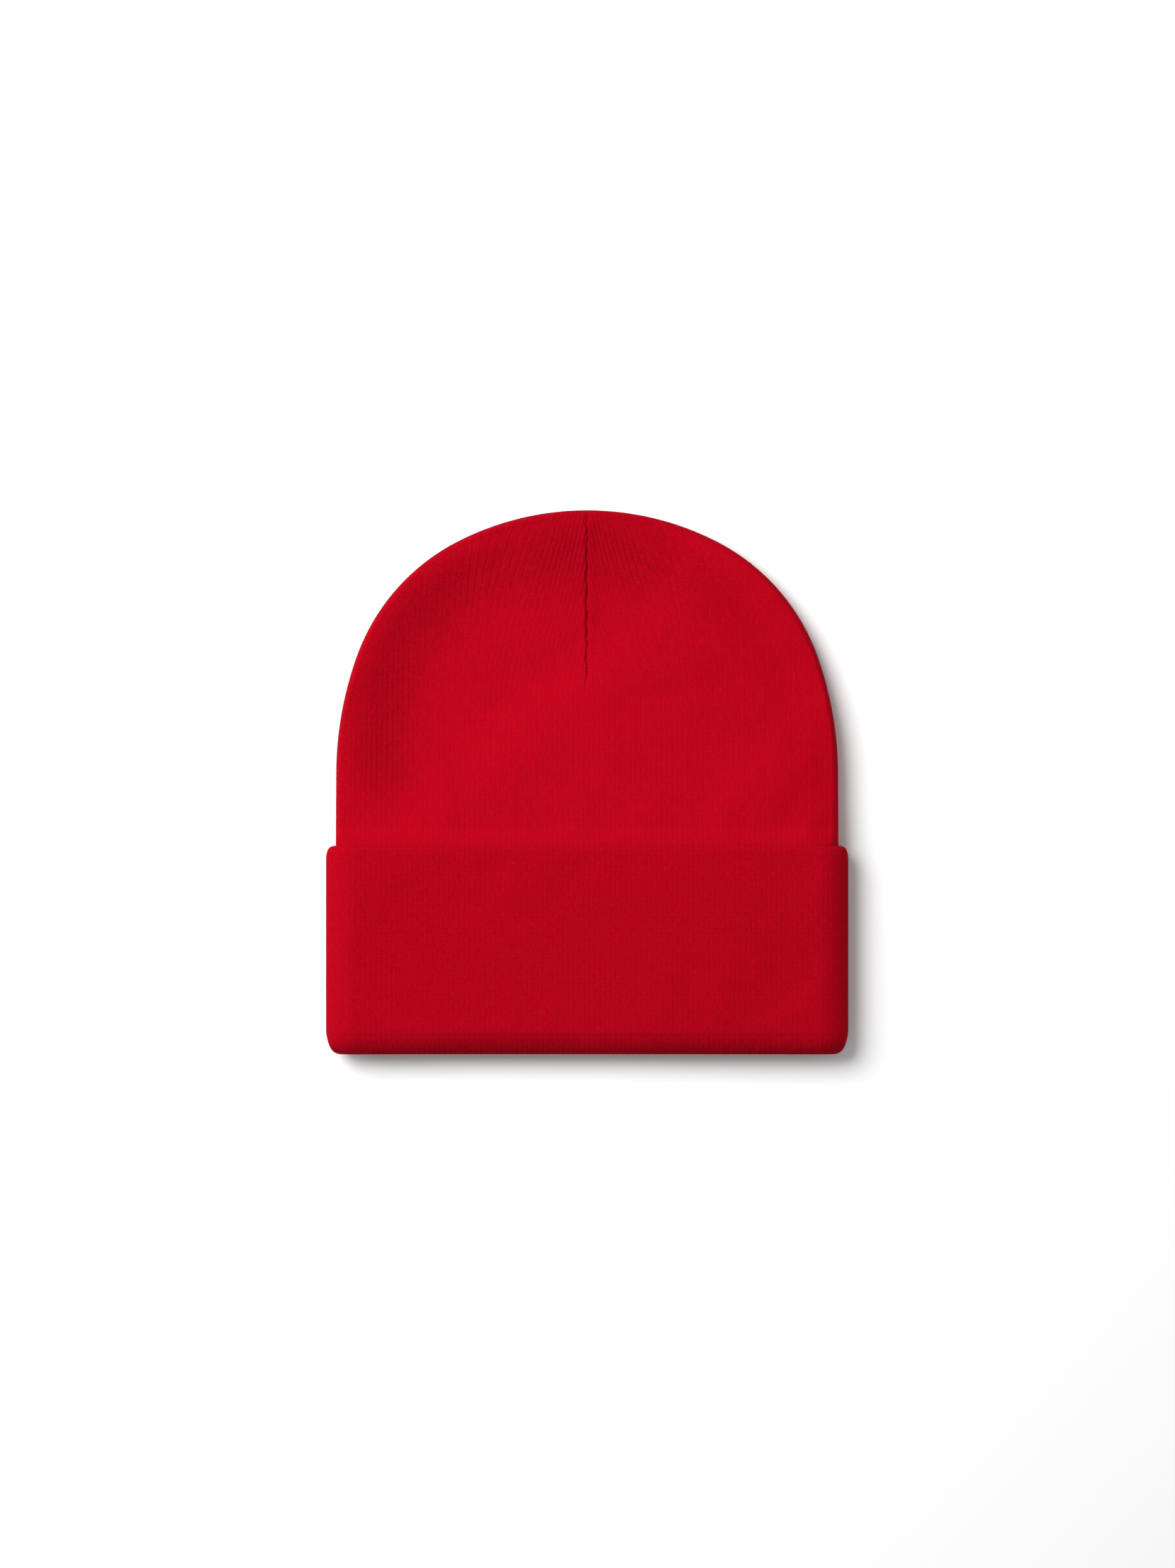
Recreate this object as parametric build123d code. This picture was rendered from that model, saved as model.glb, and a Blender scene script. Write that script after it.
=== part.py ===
from build123d import *
from math import cos, radians, sin
import os

# A cuffed knit beanie, laid flat on its back. The knit is double: an outer shell and a lining, each
# closed at the crown by four dart seams, with the lower edge turned up once as a cuff.
# X runs across the hat, +Y runs from the mouth to the crown and +Z runs from the back to the front.
# The origin is at the middle of the hat, on the surface that it lies on. All sizes are millimetres.

# Overall sizes of the hat as it lies
CUFF_WIDTH = 216.0
BODY_WIDTH = 207.8
HAT_LENGTH = 225.2
CUFF_HEIGHT = 86.2

# The crown's outline is three tangent arcs to a side, from the tip down: tip, shoulder and side. Each
# turn is how far the outline has swung from level, in degrees, where one arc gives way to the next.
TIP_RADIUS = 118.0
SHOULDER_RADIUS = 86.0
TIP_TURN = 27.0
SHOULDER_TURN = 70.0

# Thickness of each layer and of the air between the layers
KNIT = 1.2
LINING_GAP = 1.2
CUFF_GAP = 0.4
FOLD_GAP = 0.2
CAVITY = 5.5

# Rounding of the laid hat's edges
CUFF_SIDE_ROLL = 7.0
CUFF_MOUTH_ROLL = 5.5
RIM_ROLL = 2.0
CROWN_ROLL = 7.5
NECK_ROLL = 5.0

# Seams: the four darts end at one level, and each seam is a narrow strip with a fixed thickness
DART_LENGTH = 72.0
SEAM_WIDTH = 4.0
SEAM_THICKNESS = 0.5
TACK_RADIUS = 1.6

# The care label: sewn along its upper edge to the back of the lining
LABEL_WIDTH = 30.0
LABEL_LENGTH = 22.0
LABEL_THICKNESS = 0.4
LABEL_X = -48.0
LABEL_SEWN_Y = -70.0
STITCH_DEPTH = 1.6
STITCH_THICKNESS = 0.3

# Half heights of the layers in the neck, which is the stretch inside the cuff, from the cavity out
LINING_INNER = CAVITY / 2
LINING_OUTER = LINING_INNER + KNIT
SHELL_INNER = LINING_OUTER + LINING_GAP
SHELL_OUTER = SHELL_INNER + KNIT
BACKING_INNER = SHELL_OUTER + CUFF_GAP
BACKING_OUTER = BACKING_INNER + KNIT
FACE_INNER = BACKING_OUTER + FOLD_GAP
FACE_OUTER = FACE_INNER + KNIT

MIDDLE = FACE_OUTER
MOUTH_Y = -HAT_LENGTH / 2
APEX_Y = HAT_LENGTH / 2
CUFF_TOP_Y = MOUTH_Y + CUFF_HEIGHT
# The neck stops short of the mouth, where the cuff turns in over its end
BODY_END_Y = MOUTH_Y + 3.0
DART_END_Y = APEX_Y - DART_LENGTH
# The crown swells to the cuff's own thickness just above the cuff
CROWN_BASE_Y = CUFF_TOP_Y + 2.0
BEYOND = 5.0


def crown_arcs(inset):
    """The tip arc, and the right shoulder and side arcs, drawn in from the outer surface by inset."""
    tip_end = Vector(sin(radians(TIP_TURN)), cos(radians(TIP_TURN)))
    shoulder_end = Vector(sin(radians(SHOULDER_TURN)), cos(radians(SHOULDER_TURN)))
    tip = Vector(0, APEX_Y - TIP_RADIUS)
    shoulder = tip + tip_end * (TIP_RADIUS - SHOULDER_RADIUS)
    shoulder_foot = shoulder + shoulder_end * SHOULDER_RADIUS
    # The side arc's radius is the one that brings it upright at the body's full width
    side_radius = (BODY_WIDTH / 2 - shoulder_foot.X) / (1 - shoulder_end.X)
    side = shoulder_foot - shoulder_end * side_radius
    side_sweep = 90 - SHOULDER_TURN
    shoulder_sweep = SHOULDER_TURN - TIP_TURN
    return (
        CenterArc(tip, TIP_RADIUS - inset, 90 - TIP_TURN, 2 * TIP_TURN),
        CenterArc(shoulder, SHOULDER_RADIUS - inset, side_sweep, shoulder_sweep),
        CenterArc(side, side_radius - inset, 0, side_sweep),
    )


def crown_outline(inset):
    """The closed outline of the crown, drawn in from the outer surface by inset."""
    tip_arc, *right_arcs = crown_arcs(inset)
    left_arcs = [arc.mirror(Plane.YZ) for arc in right_arcs]
    right_foot = right_arcs[-1] @ 0
    base_y = CROWN_BASE_Y + inset
    foot = Polyline(right_foot, (right_foot.X, base_y), (-right_foot.X, base_y), left_arcs[-1] @ 0)
    return make_face([tip_arc, *right_arcs, *left_arcs, foot])


def rounded_slab(outline, half_height, roll):
    """An outline made into a slab about the hat's middle plane, with its rims rounded."""
    slab = Pos(0, 0, MIDDLE - half_height) * extrude(outline, amount=2 * half_height)
    rims = slab.edges().group_by(Axis.Z)[0] + slab.edges().group_by(Axis.Z)[-1]
    base_y = slab.bounding_box().min.Y
    return fillet([rim for rim in rims if rim.center().Y > base_y + roll], roll)


def body_form(inset):
    """The crown and the neck as one solid, whose surface lies inset inside the outer surface."""
    crown = rounded_slab(crown_outline(inset), FACE_OUTER - inset, CROWN_ROLL - inset)
    end_y = BODY_END_Y - (BEYOND if inset else 0)
    top_y = CROWN_BASE_Y + 2 * CROWN_ROLL
    neck = Pos(0, (end_y + top_y) / 2, MIDDLE) * Box(
        BODY_WIDTH - 2 * inset, top_y - end_y, 2 * (SHELL_OUTER - inset)
    )
    neck = fillet(neck.edges().filter_by(Axis.Y), NECK_ROLL - inset)
    return crown + neck


def tube_section(half_width, half_height, roll, low_y, high_y):
    """A flattened solid bar along Y, with its long edges rounded."""
    bar = Pos(0, (low_y + high_y) / 2, MIDDLE) * Box(2 * half_width, high_y - low_y, 2 * half_height)
    return fillet(bar.edges().filter_by(Axis.Y), roll)


def mouth_section(low_y, high_y):
    """The cavity's own section at the mouth."""
    half_width = BODY_WIDTH / 2 - (SHELL_OUTER - LINING_INNER)
    return tube_section(half_width, LINING_INNER, NECK_ROLL - (SHELL_OUTER - LINING_INNER), low_y, high_y)


def outer_shell():
    return body_form(0) - body_form(KNIT)


def lining():
    end = Pos(0, BODY_END_Y - BEYOND, MIDDLE) * Box(2 * BODY_WIDTH, 2 * BEYOND, 4 * FACE_OUTER)
    outer = body_form(KNIT + LINING_GAP) - end
    return outer - body_form(2 * KNIT + LINING_GAP)


def seam_strips(outer_inset):
    """Four strips that follow the crown's wall: front, back, left and right."""
    wall = body_form(outer_inset) - body_form(outer_inset + SEAM_THICKNESS)
    length = APEX_Y + BEYOND - DART_END_Y
    strip_y = DART_END_Y + length / 2
    reach = BODY_WIDTH
    flat = Box(SEAM_WIDTH, length, reach)
    upright = Box(reach, length, SEAM_WIDTH)
    clear = SEAM_WIDTH / 2
    return {
        "front": wall & (Pos(0, strip_y, MIDDLE + clear + reach / 2) * flat),
        "back": wall & (Pos(0, strip_y, MIDDLE - clear - reach / 2) * flat),
        "left": wall & (Pos(-clear - reach / 2, strip_y, MIDDLE) * upright),
        "right": wall & (Pos(clear + reach / 2, strip_y, MIDDLE) * upright),
    }


def crown_tack():
    """The stitches that fill the gap between the two crown tips."""
    gap = body_form(KNIT) - body_form(KNIT + LINING_GAP)
    bar = Pos(0, APEX_Y, MIDDLE) * Rot(X=90) * Cylinder(TACK_RADIUS, 8 * KNIT)
    return gap & bar


def cuff_form(inset):
    """The cuff as a solid cushion, rounded towards the mouth, inset inside the outer surface."""
    half_width = CUFF_WIDTH / 2 - inset
    bar = tube_section(
        half_width, FACE_OUTER - inset, CUFF_SIDE_ROLL - inset, MOUTH_Y + inset, CUFF_TOP_Y - KNIT
    )
    return fillet(bar.faces().sort_by(Axis.Y)[0].edges(), CUFF_MOUTH_ROLL - inset)


def rim_plate():
    """The turned-in rim that closes the cuff's top edge."""
    half_width = CUFF_WIDTH / 2
    low_y = CUFF_TOP_Y - 2 * RIM_ROLL
    bar = tube_section(half_width, FACE_OUTER, CUFF_SIDE_ROLL, low_y, CUFF_TOP_Y)
    return fillet(bar.faces().sort_by(Axis.Y)[-1].edges(), RIM_ROLL)


def backing_hollow(low_y, high_y):
    """The space inside the cuff, where the neck sits."""
    half_width = CUFF_WIDTH / 2 - 2 * KNIT - FOLD_GAP
    return tube_section(half_width, BACKING_INNER, NECK_ROLL, low_y, high_y)


def cuff_face():
    """The cuff's outer layer, which turns in at the mouth and in again at the rim."""
    rim_hole = backing_hollow(CUFF_TOP_Y - 2 * KNIT, CUFF_TOP_Y + BEYOND)
    mouth_hole = mouth_section(MOUTH_Y - BEYOND, MOUTH_Y + 2 * KNIT)
    return cuff_form(0) + rim_plate() - cuff_form(KNIT) - rim_hole - mouth_hole


def cuff_backing():
    """The cuff's inner layer, which meets the face under the rim."""
    return cuff_form(KNIT + FOLD_GAP) - backing_hollow(MOUTH_Y - BEYOND, CUFF_TOP_Y + BEYOND)


def care_label():
    """A blank label that lies on the lining's back, free below its sewn edge."""
    floor_z = MIDDLE - LINING_INNER
    low_z = floor_z + STITCH_THICKNESS
    return Pos(LABEL_X, LABEL_SEWN_Y - LABEL_LENGTH / 2, low_z + LABEL_THICKNESS / 2) * Box(
        LABEL_WIDTH, LABEL_LENGTH, LABEL_THICKNESS
    )


def label_stitch():
    """The stitch line between the label's upper edge and the lining."""
    floor_z = MIDDLE - LINING_INNER
    return Pos(LABEL_X, LABEL_SEWN_Y - STITCH_DEPTH / 2, floor_z + STITCH_THICKNESS / 2) * Box(
        LABEL_WIDTH - 2 * STITCH_DEPTH, STITCH_DEPTH, STITCH_THICKNESS
    )


def main():
    shell_seams = seam_strips(KNIT)
    lining_seams = seam_strips(KNIT + LINING_GAP - SEAM_THICKNESS)
    nodes = {
        "outer_shell": outer_shell(),
        "lining": lining(),
        "front_dart_seam": shell_seams["front"],
        "back_dart_seam": shell_seams["back"],
        "left_crown_seam": shell_seams["left"],
        "right_crown_seam": shell_seams["right"],
        "lining_front_dart_seam": lining_seams["front"],
        "lining_back_dart_seam": lining_seams["back"],
        "lining_left_crown_seam": lining_seams["left"],
        "lining_right_crown_seam": lining_seams["right"],
        "crown_tack": crown_tack(),
        "label_stitch": label_stitch(),
        "care_label": care_label(),
        "cuff_face": cuff_face(),
        "cuff_backing": cuff_backing(),
    }
    os.makedirs("parts", exist_ok=True)
    for name, solid in nodes.items():
        export_step(solid, f"parts/{name}.step")


main()
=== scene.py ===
import math
import bpy
import numpy as np
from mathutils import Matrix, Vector


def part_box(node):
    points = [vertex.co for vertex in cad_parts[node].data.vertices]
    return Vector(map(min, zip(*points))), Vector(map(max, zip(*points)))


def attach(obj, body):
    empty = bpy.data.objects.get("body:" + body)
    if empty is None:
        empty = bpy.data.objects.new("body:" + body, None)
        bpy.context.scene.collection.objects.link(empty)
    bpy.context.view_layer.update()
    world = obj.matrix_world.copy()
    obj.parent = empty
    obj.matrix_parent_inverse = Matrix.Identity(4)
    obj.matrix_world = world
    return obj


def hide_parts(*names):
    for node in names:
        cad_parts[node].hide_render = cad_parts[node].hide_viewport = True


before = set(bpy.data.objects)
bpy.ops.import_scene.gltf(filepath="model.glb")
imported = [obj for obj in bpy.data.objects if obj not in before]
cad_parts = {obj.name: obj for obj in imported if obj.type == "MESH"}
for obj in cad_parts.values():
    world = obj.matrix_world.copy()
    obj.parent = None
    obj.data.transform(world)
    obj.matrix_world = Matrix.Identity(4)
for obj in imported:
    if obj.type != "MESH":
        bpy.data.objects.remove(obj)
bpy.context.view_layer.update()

# A cuffed double-knit beanie, laid flat with its front up, on a pale floor, seen from straight above.
# X runs across the hat, +Y from the mouth to the crown and +Z up. All lengths are metres.
# Each knitted layer is a grid of points. Its rows run across the hat and its columns run up the ribs.

MM = 0.001

# Places and sizes that the frame gives
shell_low, shell_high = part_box("outer_shell")
face_low, face_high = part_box("cuff_face")
dart_low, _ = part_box("front_dart_seam")
label_low, label_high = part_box("care_label")
stitch_low, stitch_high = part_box("label_stitch")
HALF_BODY = shell_high.x
HALF_CUFF = face_high.x
NECK_Y = shell_low.y
APEX_Y = shell_high.y
MOUTH_Y = face_low.y
RIM_Y = face_high.y
MIDDLE = face_high.z / 2
DART_Y = dart_low.y

# The crown's outline: three tangent arcs to a side
TIP_RADIUS = 118 * MM
SHOULDER_RADIUS = 86 * MM
TIP_TURN = math.radians(27)
SHOULDER_TURN = math.radians(70)

# The body: how its edges roll down, how high it stands, and where its seamed edge runs
ROLL = 9 * MM
NECK_HALF = 6.25 * MM
NECK_EASE = 0.8 * MM
LINING_HALF = 2.75 * MM
LINING_OFFSET = 3.0 * MM
CROWN_TOP = 17.6 * MM
CROWN_FALL = 7.2 * MM
EDGE_LINE = 5.2 * MM

# The cuff: how its sides roll down, its rim, and the fold round the mouth
CUFF_ROLL = 13 * MM
RIM_DROP = 0.3 * MM
RIM_ROUND = 2.2 * MM
RIM_CORNER = 3.8 * MM
INNER_INSET = 2.6 * MM
LIP_INSET = 6.6 * MM
NOSE_INSET = 6.2 * MM
LIP_REACH = 9.5 * MM
LIP_CORNER = 2.8 * MM
MOUTH_DROOP = 2.8 * MM
# How many rows of the cuff's grid lie on its outside
OUTSIDE_ROWS = 36

# The hollow in the crown's left side: a point on its lower edge, and the way that this edge runs
HOLLOW_X, HOLLOW_Y = -37 * MM, 15 * MM
HOLLOW_WAY_X, HOLLOW_WAY_Y = 0.769, 0.639

# The knit: the spacing of its ribs and courses, how far they stand up, and how the ribs near the dart
# lean into it and crowd together
RIB = 2.14 * MM
COURSE = 1.7 * MM
RIB_HEIGHT = 0.020 * MM
LEG_HEIGHT = 0.012 * MM
LEAN = 0.25
LEAN_WIDTH = 26 * MM
CROWDING = 0.012 / MM
CROWDED_WIDTH = 30 * MM

# The strips of seam allowance, and how far each lies inside the shell's surface
DART_ALLOWANCE = 4 * MM
EDGE_ALLOWANCE = 3 * MM
ALLOWANCE_THICKNESS = 0.5 * MM
SHELL_SEAM_INSET = 1.55 * MM
LINING_SEAM_INSET = 2.3 * MM

# How many frames the knit has to settle in
SETTLE_FRAMES = 20


# ---------------------------------------------------------------- shapes shared by the layers

def smooth(low, high, value):
    """0 below low, 1 above high, and an even rise between them. It falls if low is above high."""
    t = np.clip((value - low) / (high - low), 0, 1)
    return t * t * (3 - 2 * t)


def arc_centres():
    """The centres of the tip, shoulder and side arcs on the right, and the side arc's radius."""
    tip_end = np.array([math.sin(TIP_TURN), math.cos(TIP_TURN)])
    shoulder_end = np.array([math.sin(SHOULDER_TURN), math.cos(SHOULDER_TURN)])
    tip = np.array([0, APEX_Y - TIP_RADIUS])
    shoulder = tip + tip_end * (TIP_RADIUS - SHOULDER_RADIUS)
    foot = shoulder + shoulder_end * SHOULDER_RADIUS
    side_radius = (HALF_BODY - foot[0]) / (1 - shoulder_end[0])
    return tip, shoulder, foot - shoulder_end * side_radius, side_radius


TIP, SHOULDER, SIDE, SIDE_RADIUS = arc_centres()


def neck_ease(y):
    """How much the neck spreads inside the cuff, to fill it from side to side."""
    return NECK_EASE * smooth(RIM_Y - 4 * MM, RIM_Y - 14 * MM, y)


def outline_half_width(y):
    """Half the body's width at height y."""
    tip_foot = TIP[1] + TIP_RADIUS * math.cos(TIP_TURN)
    shoulder_foot = SHOULDER[1] + SHOULDER_RADIUS * math.cos(SHOULDER_TURN)
    tip = np.sqrt(np.maximum(TIP_RADIUS**2 - (y - TIP[1]) ** 2, 0))
    shoulder = SHOULDER[0] + np.sqrt(np.maximum(SHOULDER_RADIUS**2 - (y - SHOULDER[1]) ** 2, 0))
    side = SIDE[0] + np.sqrt(np.maximum(SIDE_RADIUS**2 - (y - SIDE[1]) ** 2, 0))
    straight = HALF_BODY + neck_ease(y)
    return np.select([y > tip_foot, y > shoulder_foot, y > SIDE[1]], [tip, shoulder, side], straight)


def outline_depth(x, y):
    """How far a point lies inside the body's outline, and the way outwards there (x and y)."""
    right = np.abs(x)
    depth = HALF_BODY + neck_ease(y) - right
    out_x, out_y = np.ones_like(right), np.zeros_like(right)
    arcs = (
        (SIDE, SIDE_RADIUS, 0),
        (SHOULDER, SHOULDER_RADIUS, math.pi / 2 - SHOULDER_TURN),
        (TIP, TIP_RADIUS, math.pi / 2 - TIP_TURN),
    )
    for centre, radius, low_angle in arcs:
        away = np.maximum(np.hypot(right - centre[0], y - centre[1]), 1e-9)
        angle = np.arctan2(y - centre[1], right - centre[0])
        here = (angle >= low_angle) & (y > SIDE[1])
        depth = np.where(here, radius - away, depth)
        out_x = np.where(here, (right - centre[0]) / away, out_x)
        out_y = np.where(here, (y - centre[1]) / away, out_y)
    return np.maximum(depth, 0), np.sign(x) * out_x, out_y


def waves(x, y, seed, size, count=7):
    """A slow uneven field of about -1 to 1, whose waves are about size long."""
    rng = np.random.default_rng(seed)
    total = 0 * (x + y)
    for _ in range(count):
        angle, phase = rng.uniform(0, 2 * math.pi, 2)
        length = size * rng.uniform(0.7, 1.6)
        along = x * math.cos(angle) + y * math.sin(angle)
        total = total + np.sin(2 * math.pi * along / length + phase)
    return total / count * 1.6


def mouth_droop(x, y):
    """How far the upper lip of the mouth sinks towards the lower one."""
    across = 1 - np.clip(np.abs(x) / HALF_CUFF, 0, 1) ** 4
    uneven = 1 + 0.18 * waves(x, 0 * y, 13, 90 * MM)
    return MOUTH_DROOP * smooth(MOUTH_Y + 11 * MM, MOUTH_Y - 3 * MM, y) * across * uneven


def knit_relief(rib_place):
    """How far the knit stands up: a ridge for each rib, split into its two legs."""
    turn = 2 * np.pi * rib_place / RIB
    return RIB_HEIGHT * np.cos(turn) - LEG_HEIGHT * np.cos(2 * turn)


def unit(vectors):
    """Vectors brought to a length of one."""
    return vectors / np.maximum(np.linalg.norm(vectors, axis=-1, keepdims=True), 1e-12)


def grid_normals(points, up, ring=False):
    """Unit normals of a grid of points. up is 1 where they face the front and -1 for the back. ring
    says that its last row is next to its first."""
    across = np.gradient(points, axis=1)
    if ring:
        along = np.roll(points, -1, axis=0) - np.roll(points, 1, axis=0)
    else:
        along = np.gradient(points, axis=0)
    normal = np.cross(across, along) * up
    # Front and back meet at the first and last columns, so both face straight outwards there
    normal[:, [0, -1], 2] = 0
    return unit(normal)


def length_across(points):
    """How far each point lies from its row's middle, along the surface: below 0 on the left."""
    steps = np.hypot(np.diff(points[..., 0], axis=1), np.diff(points[..., 2], axis=1))
    along = np.concatenate([np.zeros((len(points), 1)), np.cumsum(steps, axis=1)], axis=1)
    middle = points.shape[1] // 2
    return along - along[:, [middle]]


def spline(values, count):
    """A grid's rows drawn out smoothly into count rows, by a cubic B-spline."""
    place = np.linspace(0, len(values) - 1, count)
    start = np.minimum(place.astype(int), len(values) - 2)
    t = (place - start)[:, None, None]
    padded = np.concatenate([values[:1], values, values[-1:]])
    weights = ((1 - t) ** 3, 3 * t**3 - 6 * t**2 + 4, -3 * t**3 + 3 * t**2 + 3 * t + 1, t**3)
    return sum(weight * padded[start + step] for step, weight in enumerate(weights)) / 6


def resample(values, rows, columns):
    """A coarse grid drawn out smoothly into a fine one."""
    return spline(spline(values, rows).swapaxes(0, 1), columns).swapaxes(0, 1)


# ---------------------------------------------------------------- meshes

def add_object(name, points, faces):
    """A smooth-shaded object made of four-cornered faces."""
    mesh = bpy.data.meshes.new(name)
    mesh.vertices.add(points.size // 3)
    mesh.vertices.foreach_set("co", points.reshape(-1).astype(np.float32))
    mesh.loops.add(faces.size)
    mesh.loops.foreach_set("vertex_index", faces.reshape(-1).astype(np.int32))
    mesh.polygons.add(len(faces))
    mesh.polygons.foreach_set("loop_start", np.arange(0, faces.size, 4, dtype=np.int32))
    mesh.update(calc_edges=True)
    mesh.shade_smooth()
    piece = bpy.data.objects.new(name, mesh)
    bpy.context.scene.collection.objects.link(piece)
    return piece


def grid_object(name, points, knit_place=None, flip=False, ring=False):
    """A grid of points made into an object. ring joins its last row to its first. knit_place is the
    rib and the course that each point lies on, and how far the knit is painted darker or lighter
    there. It is kept with the mesh for the material to read."""
    rows, columns = points.shape[:2]
    index = np.arange(rows * columns).reshape(rows, columns)
    if ring:
        index = np.concatenate([index, index[:1]])
    corners = [index[:-1, :-1], index[:-1, 1:], index[1:, 1:], index[1:, :-1]]
    faces = np.stack(corners, axis=-1).reshape(-1, 4)
    piece = add_object(name, points, faces[:, ::-1] if flip else faces)
    if knit_place is not None:
        rib, course, gathered_and_shaded = knit_place
        place = np.stack([rib / RIB, course / COURSE, gathered_and_shaded], axis=-1)
        attribute = piece.data.attributes.new("knit", "FLOAT_VECTOR", "POINT")
        attribute.data.foreach_set("vector", place.reshape(-1).astype(np.float32))
    return piece


def tube_object(name, path, across, up, width, height, sides=8):
    """A closed tube or strip along a path, with its own way across and way up at each point."""
    turn = np.linspace(0, 2 * math.pi, sides, endpoint=False)[None, :, None]
    ring = across[:, None] * np.cos(turn) * width / 2 + up[:, None] * np.sin(turn) * height / 2
    points = path[:, None] + ring
    points = np.concatenate([path[:1, None] + 0 * points[:1], points, path[-1:, None] + 0 * points[:1]])
    points = np.concatenate([points, points[:, :1]], axis=1)
    piece = grid_object(name, points)
    weld(piece)
    return piece


def weld(piece):
    """Join points that lie at the same place, and drop the faces that this closes up."""
    modifier = piece.modifiers.new("weld", "WELD")
    modifier.merge_threshold = 1e-7
    depsgraph = bpy.context.evaluated_depsgraph_get()
    welded = bpy.data.meshes.new_from_object(piece.evaluated_get(depsgraph))
    piece.modifiers.clear()
    piece.data = welded


# ---------------------------------------------------------------- settling the knit as cloth

def settle(points, pinned, growth, pressure, cap):
    """Let a coarse grid of knit fill out as cloth between its pinned points. Gives each one's shift.
    growth is how much fuller the cloth is than the form that it starts from."""
    piece = grid_object("settling", points)
    group = piece.vertex_groups.new(name="pinned")
    group.add([int(i) for i in np.flatnonzero(pinned)], 1.0, "REPLACE")
    modifier = piece.modifiers.new("cloth", "CLOTH")
    cloth = modifier.settings
    cloth.quality = 6
    cloth.mass = 0.05
    cloth.tension_stiffness = 12
    cloth.compression_stiffness = 12
    cloth.shear_stiffness = 4
    cloth.bending_stiffness = 6
    cloth.vertex_group_mass = "pinned"
    cloth.shrink_min = -growth
    cloth.use_pressure = True
    cloth.uniform_pressure_force = pressure
    cloth.effector_weights.gravity = 0
    modifier.point_cache.frame_start = 1
    modifier.point_cache.frame_end = SETTLE_FRAMES
    for number in range(1, SETTLE_FRAMES + 1):
        bpy.context.scene.frame_set(number)
    settled = np.empty(points.size, dtype=np.float32)
    evaluated = piece.evaluated_get(bpy.context.evaluated_depsgraph_get())
    evaluated.data.vertices.foreach_get("co", settled)
    bpy.data.objects.remove(piece)
    bpy.context.scene.frame_set(1)
    shift = settled.reshape(points.shape) - points
    length = np.linalg.norm(shift, axis=2, keepdims=True)
    return shift * cap * np.tanh(length / cap) / np.maximum(length, 1e-9)


# ---------------------------------------------------------------- the body: shell and lining

def edge_line(y):
    """The height of the line where front and back meet: low at the crown, midway in the cuff."""
    return MIDDLE + (EDGE_LINE - MIDDLE) * smooth(RIM_Y - 4 * MM, RIM_Y + 70 * MM, y)


def crown_dents(x, y, depth):
    """How far the crown's front sinks: over its left side and shoulder, in a valley inside its seamed
    edge, off the right side, and over the edge of the folded knit under it."""
    over = HOLLOW_WAY_X * (y - HOLLOW_Y) - HOLLOW_WAY_Y * (x - HOLLOW_X)
    along = HOLLOW_WAY_Y * (y - HOLLOW_Y) + HOLLOW_WAY_X * (x - HOLLOW_X)
    hollow = smooth(-15 * MM, 16 * MM, over) * np.exp(-((along / (60 * MM)) ** 2))
    hollow = hollow * smooth(2 * MM, 28 * MM, depth)
    seamed = smooth(RIM_Y + 25 * MM, RIM_Y + 70 * MM, y)
    valley = np.exp(-(((depth - 15 * MM) / (8 * MM)) ** 2)) * seamed
    valley = valley * (1 + 0.3 * waves(x, y, 3, 90 * MM))
    right = smooth(-0.2, 0.6, x / HALF_BODY) * smooth(RIM_Y + 60 * MM, RIM_Y + 20 * MM, y)
    under = smooth(RIM_Y + 4.6 * MM, RIM_Y + 7.4 * MM, y)
    dents = 3.2 * hollow + 0.8 * valley + 2.0 * right * smooth(14 * MM, 0, depth) + 0.25 * under
    return MM * (dents + 0.15 * waves(x, y, 5, 70 * MM))


def gathering_and_painted_shade(x, y, depth):
    """How far the crown's knit is painted darker or lighter. Above 0 the shell's ribs also stand up more.
    It is up to 1 of painted shade along the dart's crease and beside its seams, most of all on the left,
    and below 0 of painted light over most of the crown, most of all in a band round the cuff's rim."""
    # Painted shade along the dart's crease, and a little beside the dart
    crease = np.exp(-np.abs(x) / (0.6 * MM)) * smooth(DART_Y - 3 * MM, DART_Y + 6 * MM, y)
    beside_dart = np.exp(-((x / (9 * MM)) ** 2)) * smooth(DART_Y, APEX_Y - 20 * MM, y)
    # Painted shade in a band inside the seamed edge and at the edge itself, strongest on the left
    beside_edge = np.exp(-(((depth - 18 * MM) / (14 * MM)) ** 2))
    beside_edge = beside_edge * smooth(RIM_Y + 6 * MM, RIM_Y + 36 * MM, y)
    left = np.clip(1 - 1.4 * x / HALF_BODY, 0, 1)
    seamed = (1.4 * beside_edge + 0.8 * smooth(4.5 * MM, 1 * MM, depth)) * left
    # Painted light over the crown, stronger in a band round the cuff's rim
    stretched = 0.5 + 0.35 * smooth(RIM_Y + 7 * MM, RIM_Y + 5.5 * MM, y)
    out = smooth(RIM_Y - 8 * MM, RIM_Y - 2 * MM, y)
    return np.clip(0.3 * crease + 0.1 * beside_dart + (seamed - stretched) * out, -1, 1)


def roll_width(y):
    """How wide the rolled edge is: full in the cuff, and narrow above it."""
    above = smooth(RIM_Y - 6 * MM, RIM_Y + 4 * MM, y)
    return ROLL - 5.8 * MM * above - 0.4 * MM * smooth(RIM_Y + 10 * MM, RIM_Y + 60 * MM, y)


def lining_roll_width(y):
    """How wide the lining's rolled edge is. It is wider than the shell's, so that it fits inside."""
    return ROLL + 0 * y


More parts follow.
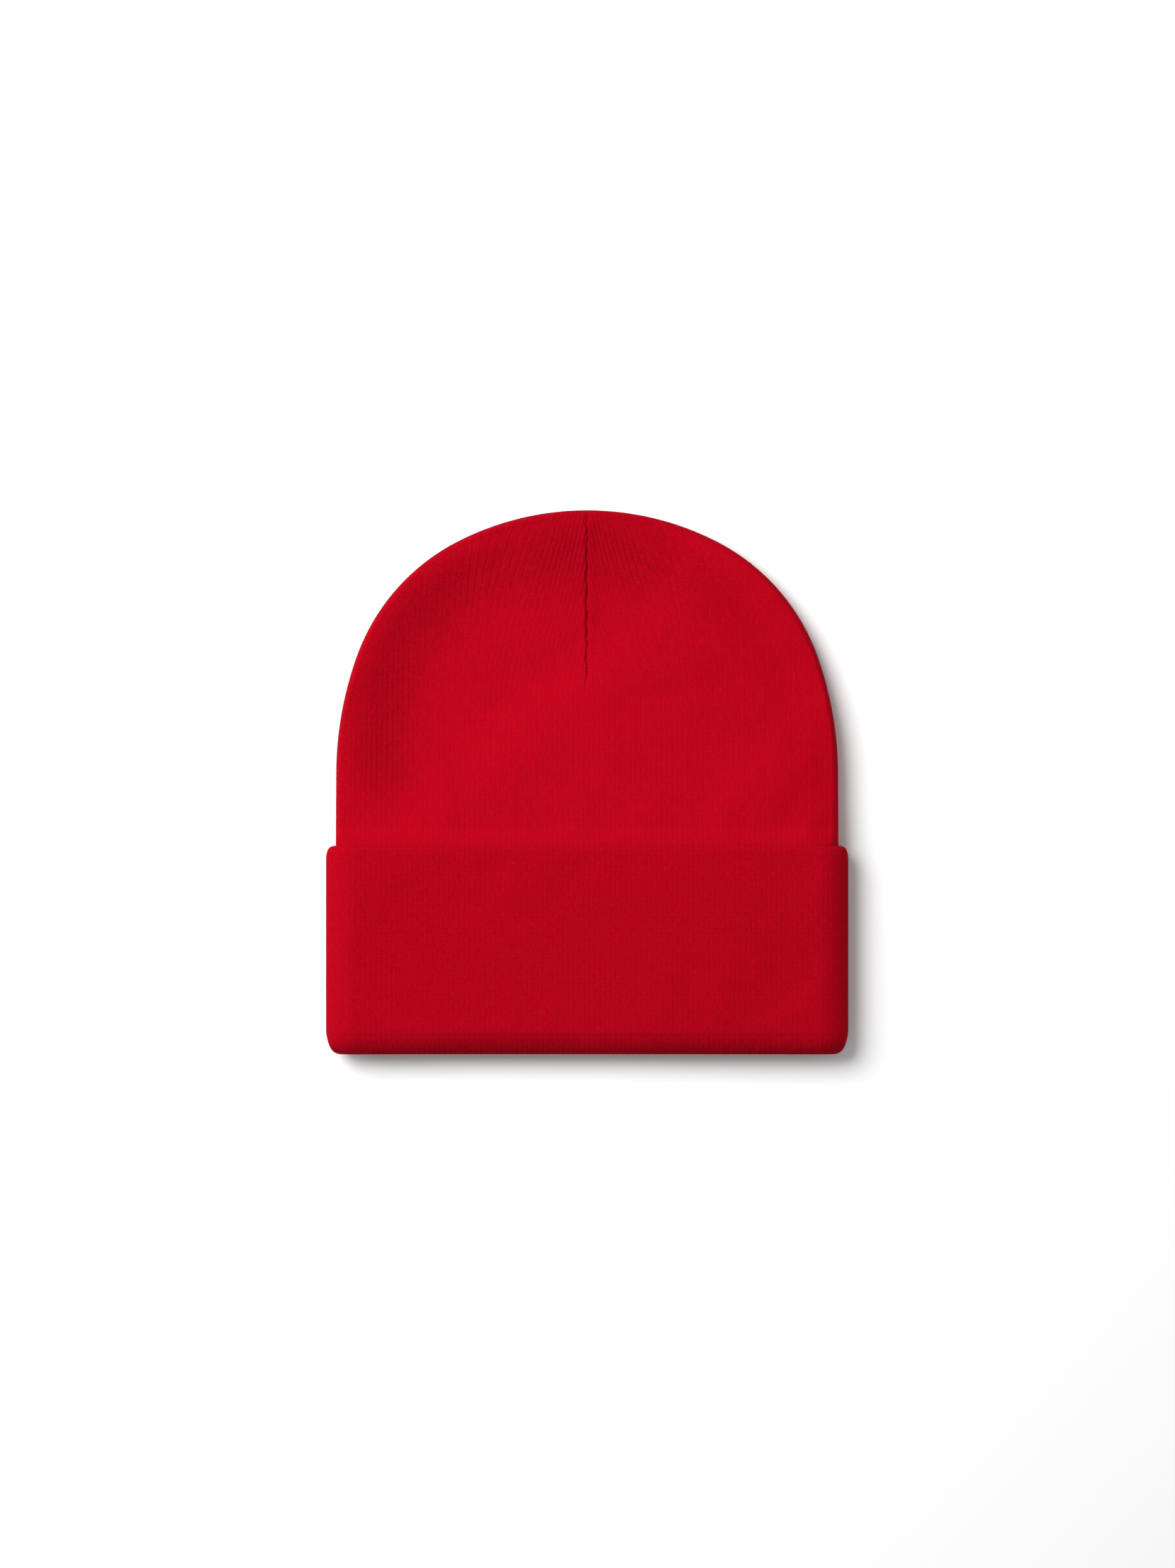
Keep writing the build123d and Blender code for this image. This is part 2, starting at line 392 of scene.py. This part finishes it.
def body_height(front, x, y, roll):
    """The height of the body's outer surface, where it lies over or under the point x, y. roll is
    how wide its rolled edge is."""
    depth, _, _ = outline_depth(x, y)
    out = smooth(RIM_Y - 12 * MM, RIM_Y + 4 * MM, y)
    if front:
        up_crown = np.clip((y - RIM_Y) / (APEX_Y - RIM_Y), 0, 1)
        crown = CROWN_TOP - CROWN_FALL * (1 - (1 - up_crown) ** 1.7)
        crown = crown - crown_dents(x, y, depth)
        neck = MIDDLE + NECK_HALF - mouth_droop(x, y)
    else:
        crown = 0.12 * MM * (1 + waves(x, y, 9, 50 * MM))
        neck = MIDDLE - NECK_HALF
    rise = np.sqrt(1 - np.clip(1 - depth / roll, 0, 1) ** 2)
    line = edge_line(y)
    return line + (neck + (crown - neck) * out - line) * rise


def dart_crease(x, y):
    """The sewn dart's groove, which wanders a little, and the fullness beside it."""
    sewn = smooth(DART_Y - 3 * MM, DART_Y + 6 * MM, y) * (1 - 0.5 * smooth(APEX_Y - 22 * MM, APEX_Y, y))
    turn = 2 * np.pi * y
    wander = 0.24 * np.sin(turn / (11 * MM)) + 0.24 * np.sin(turn / (4.7 * MM) + np.sin(turn / (17 * MM)))
    groove = -0.9 * MM * np.exp(-(((x - wander * MM) / (0.44 * MM)) ** 2))
    pucker = 1 + 0.6 * np.sin(turn / (4.3 * MM) + np.sign(x) * 1.3)
    fullness = 0.14 * MM * np.exp(-(((np.abs(x) - 1.9 * MM) / (1.5 * MM)) ** 2)) * pucker
    return sewn * (groove + fullness)


def section_columns(count, share=0.09):
    """Places across a section, from -1 to 1, drawn together where the edges roll down."""
    place = np.linspace(-1, 1, count)
    away = np.abs(place)
    turn = np.clip((away - 1 + share) / share, 0, 1) * np.pi / 2
    rolled = 1 - ROLL / HALF_BODY * (1 - np.sin(turn))
    straight = away / (1 - share) * (1 - ROLL / HALF_BODY)
    return np.sign(place) * np.where(away > 1 - share, rolled, straight)


def body_rows(count, share=0.24, near=16 * MM):
    """Heights of the body's rows, drawn together towards the crown's tip."""
    place = np.linspace(0, 1, count)
    low = NECK_Y + (APEX_Y - near - NECK_Y) * place / (1 - share)
    turn = np.clip((place - 1 + share) / share, 0, 1)
    return np.where(place > 1 - share, APEX_Y - near * (1 - turn) ** 2, low)


def body_form(front, rows, columns, roll=roll_width):
    """The smooth outer form of the hat's front or back, without knit or crease."""
    y = body_rows(rows)[:, None] + np.zeros((1, columns))
    x = outline_half_width(y) * section_columns(columns)[None, :]
    return np.stack([x, y, body_height(front, x, y, roll(y))], axis=-1)


def body_shift(front):
    """How the body's front or back settles as cloth, on a coarse grid. It is held at the cuff, round
    its seamed edge and along the dart."""
    points = body_form(front, 57, 61)
    x, y = points[..., 0], points[..., 1]
    pinned = (y < RIM_Y + 4 * MM) | ((np.abs(x) < 1 * MM) & (y > DART_Y))
    pinned[:, [0, -1]] = True
    pinned[-2:] = True
    shift = 0 * points
    # The last row is the crown's tip, where all its points meet, so it stays out of the cloth
    if front:
        shift[:-1] = settle(points[:-1], pinned[:-1], 0.006, 0.2, 0.45 * MM)
    else:
        shift[:-1] = settle(points[:-1], pinned[:-1], 0.005, 0.0, 0.3 * MM)
    return shift


def body_surface(front, shift, rows, columns, roll=roll_width):
    """The settled outer surface, each point's place in the knit, and its painted shade and light."""
    points = body_form(front, rows, columns, roll)
    x, y = points[..., 0], points[..., 1]
    depth, out_x, _ = outline_depth(x, y)
    points = points + resample(shift, rows, columns) * smooth(0, 4 * MM, depth)[..., None]
    # The ribs run up the hat and go on round its rolled sides. Beside the dart they lean into it and
    # crowd together.
    excess = length_across(points) - x + x[:, [columns // 2]]
    above = np.maximum(y - DART_Y, 0)
    lean = LEAN * above * np.exp(-np.abs(x) / LEAN_WIDTH)
    crowding = CROWDING * above * x * np.exp(-((x / CROWDED_WIDTH) ** 2))
    rib = x + excess * np.abs(out_x) + np.where(x < 0, -lean, lean) + crowding
    rolled = np.clip(1 - depth / roll(y), 0, 1)
    up = 1 if front else -1
    points[..., 2] += up * dart_crease(x, y) * np.sqrt(1 - rolled**2)
    if not front:
        points[..., 2] = np.maximum(points[..., 2], 0)
    return points, (rib, y + 0.3 * lean, gathering_and_painted_shade(x, y, depth))


def make_shell_half(name, front, shift, rows=150, columns=1000):
    """The outer knit of the front or the back, from inside the cuff to the crown's tip."""
    up = 1 if front else -1
    points, place = body_surface(front, shift, rows, columns)
    x, y = points[..., 0], points[..., 1]
    depth, _, _ = outline_depth(x, y)
    # The ribs stand up more beside the dart and where the knit is painted darker, and sink away at the
    # edge
    beside_dart = np.exp(-np.abs(x) / (9 * MM)) * smooth(DART_Y - 4 * MM, DART_Y + 12 * MM, y)
    gathered_and_shaded = 1 + 3.0 * beside_dart + 1.4 * np.clip(place[2], 0, 1)
    relief = knit_relief(place[0]) * gathered_and_shaded * smooth(0, 3 * MM, depth)
    points = points + grid_normals(points, up) * relief[..., None]
    return grid_object(name, points, place, flip=not front)


def make_lining_half(name, front, shift, rows=80, columns=640):
    """The inner knit, seen from the cavity. Its lower end turns out to meet the shell's end."""
    up = 1 if front else -1
    points, place = body_surface(front, shift, rows, columns, lining_roll_width)
    y = points[..., 1]
    offset = LINING_OFFSET + (NECK_HALF - LINING_HALF - LINING_OFFSET) * smooth(RIM_Y + 20 * MM, RIM_Y, y)
    end = np.clip((y - NECK_Y) / (3.5 * MM), 0, 1)
    offset = offset * np.sqrt(1 - (1 - end) ** 2) - knit_relief(place[0])
    points = points - grid_normals(points, up) * offset[..., None]
    return grid_object(name, points, place, flip=front)


# ---------------------------------------------------------------- the cuff

def cuff_profile():
    """The cuff's section as a closed ring of places (y, inset from the outside)."""
    quarter = np.linspace(0, math.pi / 2, 11)
    rim_y = RIM_Y - RIM_ROUND
    outside = [(y, 0) for y in np.linspace(MOUTH_Y + LIP_REACH, rim_y, OUTSIDE_ROWS)]
    rim = [
        (rim_y + RIM_ROUND * math.sin(turn), INNER_INSET / 2 * (1 - math.cos(turn)))
        for turn in np.linspace(0, math.pi, 12)[1:-1]
    ]
    inside = [(y, INNER_INSET) for y in np.linspace(rim_y, MOUTH_Y + 4.4 * MM, 20)]
    wall = [(MOUTH_Y + 3 * MM, INNER_INSET + 1.2 * MM), (MOUTH_Y + 2.6 * MM, LIP_INSET - 1.2 * MM)]
    under = [
        (MOUTH_Y + 3 * MM * (1 - math.sin(turn)), NOSE_INSET + (LIP_INSET - NOSE_INSET) * math.cos(turn))
        for turn in quarter[:-1]
    ]
    lip = [
        (MOUTH_Y + LIP_REACH * (1 - math.cos(turn)), NOSE_INSET * (1 - math.sin(turn) ** 0.85))
        for turn in quarter[:-1]
    ]
    return np.array(outside + rim + inside + wall + under + lip)


def cuff_section(place, inset):
    """Half of the cuff's section at a depth inset inside it: x and height over the middle plane."""
    share = 0.11
    away = np.abs(place)
    roll = CUFF_ROLL - 0.75 * inset
    turn = np.clip((away - 1 + share) / share, 0, 1) * np.pi / 2
    flat = HALF_CUFF - inset - roll
    x = np.where(away > 1 - share, flat + roll * np.sin(turn), away / (1 - share) * flat)
    return np.sign(place) * x, (MIDDLE - inset) * np.cos(turn)


def cuff_form(front, columns):
    """The smooth form of the cuff's front or back half."""
    profile = cuff_profile()
    inset = profile[:, 1][:, None] + np.zeros((1, columns))
    y = profile[:, 0][:, None] + np.zeros((1, columns))
    x, height = cuff_section(np.linspace(-1, 1, columns)[None, :], inset)
    # The ends of the rim and of the lip are rounded as seen from above
    for corner, edge_y, up in ((RIM_CORNER, RIM_Y, -1), (LIP_CORNER, MOUTH_Y, 1)):
        into = np.clip((np.abs(x) - HALF_CUFF + corner) / corner, 0, 1)
        near = smooth(edge_y + up * 16 * MM, edge_y, y)
        y = y + up * corner * (1 - np.sqrt(1 - into**2)) * near
    height = height - RIM_DROP * smooth(RIM_Y - 14 * MM, RIM_Y, y) * height / MIDDLE
    if front:
        soft = height / MIDDLE * smooth(LIP_INSET, 0, inset)
        z = MIDDLE + height - mouth_droop(x, y) + 0.22 * MM * waves(x, y, 11, 80 * MM) * soft
    else:
        z = MIDDLE - height
    return np.stack([x, y, z], axis=-1)


def cuff_shift(front, columns=67):
    """How the cuff half's outside settles as cloth, on its own rows and a coarse set of columns."""
    points = cuff_form(front, columns)
    outside = points[:OUTSIDE_ROWS]
    pinned = np.zeros(outside.shape[:2], dtype=bool)
    pinned[:, [0, 1, -2, -1]] = True
    pinned[[0, 1, -2, -1]] = True
    shift = 0 * points
    if front:
        shift[:OUTSIDE_ROWS] = settle(outside, pinned, 0.002, 0.05, 0.35 * MM)
    return shift


def make_cuff_half(name, front, shift, columns=1060):
    """The front or back half of the cuff, with its rim, its inside and its fold at the mouth."""
    up = 1 if front else -1
    points = cuff_form(front, columns)
    points = points + spline(shift.swapaxes(0, 1), columns).swapaxes(0, 1)
    x, y = points[..., 0], points[..., 1]
    # One rib spacing serves every row, so that the ribs run straight up the cuff and round its folds
    rib = length_across(points)[:OUTSIDE_ROWS].mean(axis=0)[None, :] + 0 * x
    profile = cuff_profile()
    course = np.cumsum(np.hypot(*np.diff(profile, axis=0, prepend=profile[-1:]).T))
    # Painted shade: the fold at the mouth is painted darker over its last 8.5 mm
    gathered_and_shaded = 1.6 * smooth(MOUTH_Y + 8.5 * MM, MOUTH_Y, y)
    points = points + grid_normals(points, up, ring=True) * knit_relief(rib)[..., None]
    return grid_object(name, points, (rib, course[:, None] + 0 * x, gathered_and_shaded), flip=not front, ring=True)


# ---------------------------------------------------------------- seams, tack and label

def make_dart_strip(name, front, inset):
    """The seam allowance of the front or back dart, lying under the knit."""
    y = body_rows(240)
    y = y[(y > DART_Y) & (y < APEX_Y - 1.5 * MM)]
    step = 0.2 * MM
    low, height, high = (body_height(front, 0 * y, y + by, roll_width(y)) for by in (-step, 0, step))
    slope = (high - low) / (2 * step)
    up = 1 if front else -1
    way_up = unit(np.stack([0 * y, -slope, 1 + 0 * y], axis=-1)) * up
    across = np.stack([1 + 0 * y, 0 * y, 0 * y], axis=-1)
    path = np.stack([0 * y, y, height], axis=-1) - way_up * inset
    return tube_object(name, path, across, way_up, DART_ALLOWANCE, ALLOWANCE_THICKNESS)


def make_edge_strip(name, side, inset):
    """The seam allowance of the left or right crown seam, lying inside the rolled edge."""
    y = body_rows(240)
    y = y[(y > DART_Y) & (y < APEX_Y - 0.3 * MM)]
    x = side * outline_half_width(y)
    _, out_x, out_y = outline_depth(x, y)
    way_out = np.stack([out_x, out_y, 0 * y], axis=-1)
    across = np.stack([0 * y, 0 * y, 1 + 0 * y], axis=-1)
    path = np.stack([x, y, edge_line(y)], axis=-1) - way_out * inset
    return tube_object(name, path, across, way_out, EDGE_ALLOWANCE, ALLOWANCE_THICKNESS)


def make_thread(name, path, radius):
    """A round thread along a path."""
    ahead = unit(np.gradient(path, axis=0))
    # Any direction that the path never takes serves to find its ways across
    aside = np.array([0.13, 0.21, 0.97])
    across = unit(np.cross(ahead, aside))
    return tube_object(name, path, across, np.cross(across, ahead), 2 * radius, 2 * radius)


def make_tack():
    """The few turns of thread that hold the two crown tips together."""
    turn = np.linspace(0, 5 * 2 * math.pi, 120)
    y = APEX_Y - 1.8 * MM - 0.8 * MM * turn / turn[-1]
    z = edge_line(APEX_Y) + 0.8 * MM * np.sin(turn)
    return make_thread("crown_tack_thread", np.stack([0.8 * MM * np.cos(turn), y, z], axis=-1), 0.14 * MM)


def make_label_stitches():
    """The zigzag thread under the label's upper edge, which holds it to the lining."""
    turn = np.linspace(0, 1, 260)
    x = stitch_low.x + (stitch_high.x - stitch_low.x) * turn
    zigzag = 2 / math.pi * np.arcsin(np.sin(turn * 2 * math.pi * 14))
    y = (stitch_low.y + stitch_high.y) / 2 + 0.65 * MM * zigzag
    z = (stitch_low.z + stitch_high.z) / 2 + 0 * x
    return make_thread("label_stitch_thread", np.stack([x, y, z], axis=-1), 0.12 * MM)


def make_label(rows=46, columns=62, thickness=0.3 * MM):
    """The blank label: a satin tape, held along its upper edge, that curls a little below it."""
    x = np.linspace(label_low.x, label_high.x, columns)[None, :] + np.zeros((rows, 1))
    y = np.linspace(label_low.y, label_high.y, rows)[:, None] + np.zeros((1, columns))
    free = smooth(label_high.y - 3 * MM, label_low.y, y)
    middle = (label_low.x + label_high.x) / 2
    curl = 0.35 * MM * ((x - middle) / (15 * MM)) ** 2 + 0.15 * MM * np.sin((x - middle) / (3.5 * MM))
    z = label_low.z + thickness + free * curl
    top = np.stack([x, y, z], axis=-1)
    bottom = top - np.array([0, 0, thickness])
    edge_top, edge_bottom = top[:, [0, -1]], bottom[:, [0, -1]]
    ring = np.concatenate([top, bottom[::-1]], axis=0)
    piece = grid_object("care_label_tape", ring, ring=True)
    sides = [
        grid_object("side", np.stack([edge_top[:, i], edge_bottom[:, i]], axis=1), flip=i == 0)
        for i in (0, 1)
    ]
    join(piece, sides)
    weld(piece)
    return piece


def join(piece, others):
    """Join other objects into a piece."""
    with bpy.context.temp_override(active_object=piece, selected_editable_objects=[piece, *others]):
        bpy.ops.object.join()


# ---------------------------------------------------------------- materials

def new_material(name, colour, roughness):
    """A material whose colour and roughness start as plain values, with no white shine."""
    material = bpy.data.materials.new(name)
    material.use_nodes = True
    shader = material.node_tree.nodes["Principled BSDF"]
    shader.inputs["Base Color"].default_value = (*colour, 1)
    shader.inputs["Roughness"].default_value = roughness
    shader.inputs["Specular IOR Level"].default_value = 0.02
    return material, material.node_tree, shader


def calculate(tree, operation, *values):
    """A maths node. Each value is a number or another node's output."""
    node = tree.nodes.new("ShaderNodeMath")
    node.operation = operation
    for socket, value in zip(node.inputs, values):
        if isinstance(value, (int, float)):
            socket.default_value = value
        else:
            tree.links.new(value, socket)
    return node.outputs[0]


def blend_colours(tree, amount, first, second):
    """A mix of two colours, each one a plain colour or another node's output."""
    node = tree.nodes.new("ShaderNodeMix")
    node.data_type = "RGBA"
    tree.links.new(amount, node.inputs[0])
    for socket, value in ((node.inputs[6], first), (node.inputs[7], second)):
        if isinstance(value, tuple):
            socket.default_value = (*value, 1)
        else:
            tree.links.new(value, socket)
    return node.outputs[2]


def noise(tree, coordinates, scale, detail=3.0):
    """Soft random variation, from 0 to 1."""
    node = tree.nodes.new("ShaderNodeTexNoise")
    node.inputs["Scale"].default_value = scale
    node.inputs["Detail"].default_value = detail
    tree.links.new(coordinates, node.inputs["Vector"])
    return node.outputs["Fac"]


def object_place(tree):
    """Coordinates that stay with the object."""
    return tree.nodes.new("ShaderNodeTexCoord").outputs["Object"]


def knit_place(tree):
    """The rib and course of each point, its painted shade and light, and the three as coordinates."""
    place = tree.nodes.new("ShaderNodeAttribute")
    place.attribute_name = "knit"
    parts = tree.nodes.new("ShaderNodeSeparateXYZ")
    tree.links.new(place.outputs["Vector"], parts.inputs[0])
    return *parts.outputs[:3], place.outputs["Vector"]


def stretched(tree, coordinates, scale):
    """Coordinates scaled by a different amount along each axis."""
    node = tree.nodes.new("ShaderNodeMapping")
    node.inputs["Scale"].default_value = scale
    tree.links.new(coordinates, node.inputs["Vector"])
    return node.outputs[0]


def add_bump(tree, shader, height, strength, distance):
    """Fine relief on a shader's surface, from a node's output."""
    node = tree.nodes.new("ShaderNodeBump")
    node.inputs["Strength"].default_value = strength
    node.inputs["Distance"].default_value = distance
    tree.links.new(height, node.inputs["Height"])
    tree.links.new(node.outputs["Normal"], shader.inputs["Normal"])


# The knit's reds: its usual red, its darkest red, for painted shade and darker dye, and its
# lightest red, for painted light and lighter patches
KNIT_RED = (0.335, 0.0006, 0.0072)
KNIT_DEEP = (0.20, 0.0003, 0.0042)
KNIT_WORN_AND_PAINTED_LIGHT = (0.42, 0.0010, 0.0096)


def centred(tree, value):
    """Random variation from 0 to 1, made to run from -0.5 to 0.5."""
    return calculate(tree, "SUBTRACT", value, 0.5)


def knit_stitch(tree, rib, course):
    """A row of stitches: each leg leans towards its rib's middle, so that a course reads as Vs."""
    lean = calculate(tree, "PINGPONG", rib, 0.5)
    stitch = calculate(tree, "FRACT", calculate(tree, "ADD", course, lean))
    return calculate(tree, "SINE", calculate(tree, "MULTIPLY", stitch, math.pi))


def knit_ribbing(tree, rib, painted_shade, patch):
    """Painted shade in each rib's groove against its crest, and between the two columns of legs in each
    rib. It shows in some patches more than in others, and most where the knit has painted shade."""
    crest = calculate(tree, "COSINE", calculate(tree, "MULTIPLY", rib, 2 * math.pi))
    legs = calculate(tree, "COSINE", calculate(tree, "MULTIPLY", rib, 4 * math.pi))
    depth = calculate(tree, "MULTIPLY_ADD", centred(tree, patch), 0.2, 0.035)
    depth = calculate(tree, "MULTIPLY_ADD", painted_shade, 0.08, calculate(tree, "MAXIMUM", depth, 0.0))
    return calculate(tree, "MULTIPLY", calculate(tree, "MULTIPLY_ADD", legs, -1.5, crest), depth)


def knit_dash(tree, place):
    """Short light strands that run up the ribs here and there, 1 on a strand and 0 off it."""
    dash = noise(tree, stretched(tree, place, (4.6, 0.8, 1)), 1.0, 1.0)
    dash = calculate(tree, "MINIMUM", calculate(tree, "MULTIPLY_ADD", dash, 9.0, -4.8), 1.0)
    return calculate(tree, "MAXIMUM", dash, 0.0)


def knit_material():
    """Fine acrylic rib knit: two-legged stitches in ribs, broken strands, fuzz, uneven dye, and painted
    shade and light.
    """
    material, tree, shader = new_material("rib_knit", KNIT_RED, 0.9)
    rib, course, gathered_and_shaded, place = knit_place(tree)
    where = object_place(tree)
    stitch = knit_stitch(tree, rib, course)
    dash = knit_dash(tree, place)
    strand = noise(tree, stretched(tree, place, (2.8, 0.45, 1)), 1.0, 2.0)
    speck = noise(tree, where, 1500, 2.0)
    fuzz = noise(tree, where, 3200, 3.0)
    mottle = noise(tree, where, 30, 3.0)
    patch = noise(tree, stretched(tree, where, (90, 35, 35)), 1.0, 1.0)
    # Painted shade: the knit is darker where the field is above 0, with darker grooves. Painted light:
    # lighter below 0
    painted_shade = calculate(tree, "MAXIMUM", gathered_and_shaded, 0.0)
    painted_light = calculate(tree, "MAXIMUM", calculate(tree, "MULTIPLY", gathered_and_shaded, -1.0), 0.0)
    shade = calculate(tree, "ADD", knit_ribbing(tree, rib, painted_shade, patch), 0.52)
    for pattern, share in (
        (painted_shade, -0.35),
        (stitch, 0.10),
        (dash, 0.33),
        (centred(tree, strand), 0.7),
        (centred(tree, speck), 0.9),
    ):
        shade = calculate(tree, "MULTIPLY_ADD", pattern, share, shade)
    colour = blend_colours(tree, shade, KNIT_DEEP, KNIT_RED)
    worn = calculate(tree, "MULTIPLY", calculate(tree, "SUBTRACT", mottle, 0.45), 0.35)
    # Painted light, with random lighter patches, mixes the knit towards its lightest red
    colour = blend_colours(tree, calculate(tree, "MULTIPLY_ADD", painted_light, 0.35, worn), colour, KNIT_WORN_AND_PAINTED_LIGHT)
    tree.links.new(colour, shader.inputs["Base Color"])
    tree.links.new(calculate(tree, "MULTIPLY_ADD", fuzz, 0.12, 0.84), shader.inputs["Roughness"])
    shader.inputs["Sheen Weight"].default_value = 0.05
    shader.inputs["Sheen Roughness"].default_value = 0.5
    shader.inputs["Sheen Tint"].default_value = (0.9, 0.01, 0.05, 1)
    height = calculate(tree, "MULTIPLY", fuzz, 0.4)
    for pattern, share in ((stitch, 0.5), (strand, 0.6), (dash, 0.35)):
        height = calculate(tree, "MULTIPLY_ADD", pattern, share, height)
    add_bump(tree, shader, height, 0.4, 0.2 * MM)
    return material


def thread_material():
    """Dyed sewing thread, twisted."""
    material, tree, shader = new_material("seam_thread", (0.4, 0.001, 0.008), 0.7)
    twist = noise(tree, object_place(tree), 1500)
    colour = blend_colours(tree, twist, (0.24, 0.0006, 0.005), (0.46, 0.0015, 0.011))
    tree.links.new(colour, shader.inputs["Base Color"])
    tree.links.new(calculate(tree, "MULTIPLY_ADD", twist, 0.2, 0.6), shader.inputs["Roughness"])
    add_bump(tree, shader, twist, 0.4, 0.1 * MM)
    return material


def label_material():
    """Blank satin tape: long threads one way, crossed by short ones."""
    material, tree, shader = new_material("label_satin", (0.8, 0.79, 0.76), 0.45)
    where = stretched(tree, object_place(tree), (2600, 700, 1))
    weave = noise(tree, where, 1.0, 1.0)
    colour = blend_colours(tree, weave, (0.58, 0.57, 0.54), (0.88, 0.87, 0.84))
    tree.links.new(colour, shader.inputs["Base Color"])
    tree.links.new(calculate(tree, "MULTIPLY_ADD", weave, 0.25, 0.35), shader.inputs["Roughness"])
    add_bump(tree, shader, weave, 0.3, 0.05 * MM)
    return material


# ---------------------------------------------------------------- floor, lights and camera

# The picture's shape, the share of its width that the hat fills, and how far the hat's middle stands
# left of the picture's middle and above it, as shares of the width
PICTURE_WIDTH, PICTURE_HEIGHT = 1658, 2212
HAT_SHARE = 0.444511
HAT_LEFT = 0.000302
HAT_ABOVE = 0.001809
CAMERA_HEIGHT = 1.6
LIGHT_DISTANCE = 1.6
WORLD_STRENGTH = 0.46
HALF_FLOOR = 3.0
FLOOR_DROP = 0.2 * MM


def add_floor():
    """A pale floor just below the hat."""
    ends = (-HALF_FLOOR, HALF_FLOOR)
    corners = np.array([(x, y, 0) for y in ends for x in ends])
    floor = add_object("floor", corners, np.array([[0, 1, 3, 2]]))
    floor.location.z = -FLOOR_DROP
    material, _, _ = new_material("pale_floor", (0.78, 0.78, 0.78), 0.9)
    floor.data.materials.append(material)


def add_light(name, direction, size, power):
    """A round soft light that shines from a direction on the middle of the hat."""
    data = bpy.data.lights.new(name, "AREA")
    data.shape = "DISK"
    data.size = size
    data.energy = power
    light = bpy.data.objects.new(name, data)
    bpy.context.scene.collection.objects.link(light)
    way = Vector(direction).normalized()
    light.location = way * LIGHT_DISTANCE
    light.rotation_euler = way.to_track_quat("Z", "Y").to_euler()


def add_world():
    """Even white light from all round."""
    world = bpy.data.worlds.new("studio")
    world.use_nodes = True
    background = world.node_tree.nodes["Background"]
    background.inputs["Color"].default_value = (1, 1, 1, 1)
    background.inputs["Strength"].default_value = WORLD_STRENGTH
    bpy.context.scene.world = world


def add_camera():
    """A long lens straight above the hat."""
    data = bpy.data.cameras.new("camera")
    camera = bpy.data.objects.new("camera", data)
    bpy.context.scene.collection.objects.link(camera)
    width = 2 * HALF_CUFF / HAT_SHARE
    height = width * PICTURE_HEIGHT / PICTURE_WIDTH
    data.sensor_fit = "VERTICAL"
    data.sensor_height = 36
    data.lens = data.sensor_height * (CAMERA_HEIGHT - MIDDLE) / height
    hat_middle = (MOUTH_Y + APEX_Y) / 2
    camera.location = (HAT_LEFT * width, hat_middle - HAT_ABOVE * width, CAMERA_HEIGHT)
    bpy.context.scene.camera = camera


# ---------------------------------------------------------------- the pieces together

def fit_piece(piece, body, material, slot, *nodes):
    """Give a piece its material and body, and hide the plain parts that it stands for. slot is not used.
    """
    piece.data.materials.append(material)
    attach(piece, body)
    if nodes:
        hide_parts(*nodes)


def make_body(knit):
    """The shell and the lining, each in two halves."""
    for side, front in (("front", True), ("back", False)):
        shift = body_shift(front)
        shell = make_shell_half(f"shell_{side}", front, shift)
        lining = make_lining_half(f"lining_{side}", front, shift)
        fit_piece(shell, "hat", knit, "knit", *(["outer_shell"] if front else []))
        fit_piece(lining, "hat", knit, "knit", *(["lining"] if front else []))


def make_cuff(knit):
    """The cuff's two halves."""
    for side, front in (("front", True), ("back", False)):
        half = make_cuff_half(f"cuff_{side}", front, cuff_shift(front))
        fit_piece(half, "cuff", knit, "knit", *(["cuff_face", "cuff_backing"] if front else []))


def make_seams(thread):
    """The seam allowances of the shell and the lining, the tack and the label's stitches."""
    for prefix, inset in (("", SHELL_SEAM_INSET), ("lining_", LINING_SEAM_INSET)):
        for side, front in (("front", True), ("back", False)):
            strip = make_dart_strip(f"{prefix}{side}_dart_allowance", front, inset)
            fit_piece(strip, "hat", thread, "seam", f"{prefix}{side}_dart_seam")
        for side, sign in (("left", -1), ("right", 1)):
            strip = make_edge_strip(f"{prefix}{side}_crown_allowance", sign, inset)
            fit_piece(strip, "hat", thread, "seam", f"{prefix}{side}_crown_seam")
    fit_piece(make_tack(), "hat", thread, "seam", "crown_tack")
    fit_piece(make_label_stitches(), "hat", thread, "seam", "label_stitch")


def main():
    knit = knit_material()
    make_body(knit)
    make_cuff(knit)
    make_seams(thread_material())
    label = make_label()
    fit_piece(label, "label", label_material(), "label", "care_label")
    add_floor()
    add_light("key", (-0.66, 0.52, 1.0), size=1.15, power=39)
    add_light("left_fill", (-1.0, 0.2, 0.42), size=0.5, power=4)
    add_light("right_fill", (1.0, 0.05, 0.35), size=0.5, power=1.5)
    add_world()
    add_camera()
    bpy.context.scene.view_settings.view_transform = "Standard"


main()
